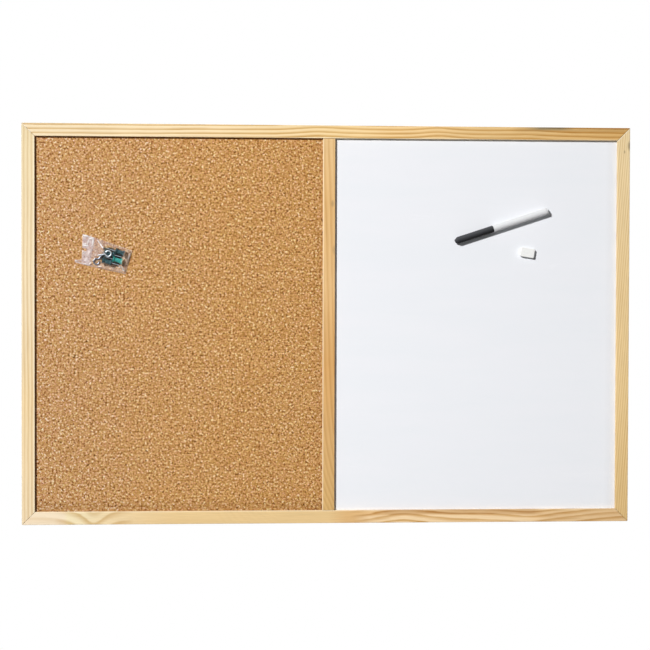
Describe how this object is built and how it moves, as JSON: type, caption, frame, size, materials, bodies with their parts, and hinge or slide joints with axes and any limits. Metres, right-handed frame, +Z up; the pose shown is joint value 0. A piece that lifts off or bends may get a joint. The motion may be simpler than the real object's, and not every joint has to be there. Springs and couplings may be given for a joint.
{
  "type": "combination whiteboard and cork board",
  "caption": "Wall board in a slim mitred pine frame, cork half at left and white enamel half at right, with marker, block magnet and a bag of push pins and screw eyes.",
  "frame": {"origin": "middle of the top rail's back face, on the wall plane, where the board hangs", "axes": "+X to the right seen from the front, +Y into the wall, +Z up; the front faces -Y"},
  "size_m": [0.6, 0.0203, 0.392],
  "materials": {
    "pine": "clear lacquered pine, fine straight grain",
    "cork": "pressed cork granules, matt",
    "fibreboard": "soft brown fibreboard",
    "hardboard": "brown hardboard, mesh side out",
    "white_lacquer": "gloss white lacquered steel",
    "zinc_steel": "bright zinc-plated steel",
    "white_plastic": "glossy white moulded plastic",
    "dark_plastic": "satin black moulded plastic",
    "ink_fibre": "pressed fibre",
    "ink_felt": "black inked felt",
    "ferrite": "matt grey ferrite",
    "clear_film": "thin clear film with creases",
    "navy_plastic": "glossy dark teal plastic",
    "emerald_plastic": "glossy emerald plastic"
  },
  "bodies": {
    "board": {"frame_rail_top": "pine", "frame_rail_bottom": "pine", "frame_stile_left": "pine", "frame_stile_right": "pine", "centre_bar": "pine", "cork_sheet": "cork", "cork_core": "fibreboard", "whiteboard_sheet": "white_lacquer", "whiteboard_core": "fibreboard", "back_panel": "hardboard", "corner_nail_top_left": "zinc_steel", "corner_nail_top_right": "zinc_steel", "corner_nail_bottom_left": "zinc_steel", "corner_nail_bottom_right": "zinc_steel", "panel_point_1": "zinc_steel", "panel_point_2": "zinc_steel", "panel_point_3": "zinc_steel", "panel_point_4": "zinc_steel", "panel_point_5": "zinc_steel", "panel_point_6": "zinc_steel", "panel_point_7": "zinc_steel", "panel_point_8": "zinc_steel", "panel_point_9": "zinc_steel", "panel_point_10": "zinc_steel"},
    "marker": {"marker_barrel": "white_plastic", "marker_end_plug": "white_plastic", "marker_reservoir": "ink_fibre", "marker_nib": "ink_felt"},
    "cap": {"marker_cap": "dark_plastic"},
    "magnet": {"magnet_cover": "white_plastic", "magnet_plate": "ferrite"},
    "bag": {"bag_pouch": "clear_film", "pin_1_head": "navy_plastic", "pin_1_needle": "zinc_steel", "pin_2_head": "emerald_plastic", "pin_2_needle": "zinc_steel", "pin_3_head": "navy_plastic", "pin_3_needle": "zinc_steel", "pin_4_head": "navy_plastic", "pin_4_needle": "zinc_steel", "screw_eye_1": "zinc_steel", "screw_eye_2": "zinc_steel"}
  },
  "joints": [
    {"name": "marker_lift", "type": "slide", "parent": "board", "child": "marker", "axis": [0, -1, 0], "range_m": [0, 0.06]},
    {"name": "cap_pull", "type": "slide", "parent": "marker", "child": "cap", "axis": [-0.95, 0, -0.3123], "range_m": [0, 0.03]},
    {"name": "magnet_lift", "type": "slide", "parent": "board", "child": "magnet", "axis": [0, -1, 0], "range_m": [0, 0.04]},
    {"name": "bag_lift", "type": "slide", "parent": "board", "child": "bag", "axis": [0, -1, 0], "range_m": [0, 0.05]}
  ]
}
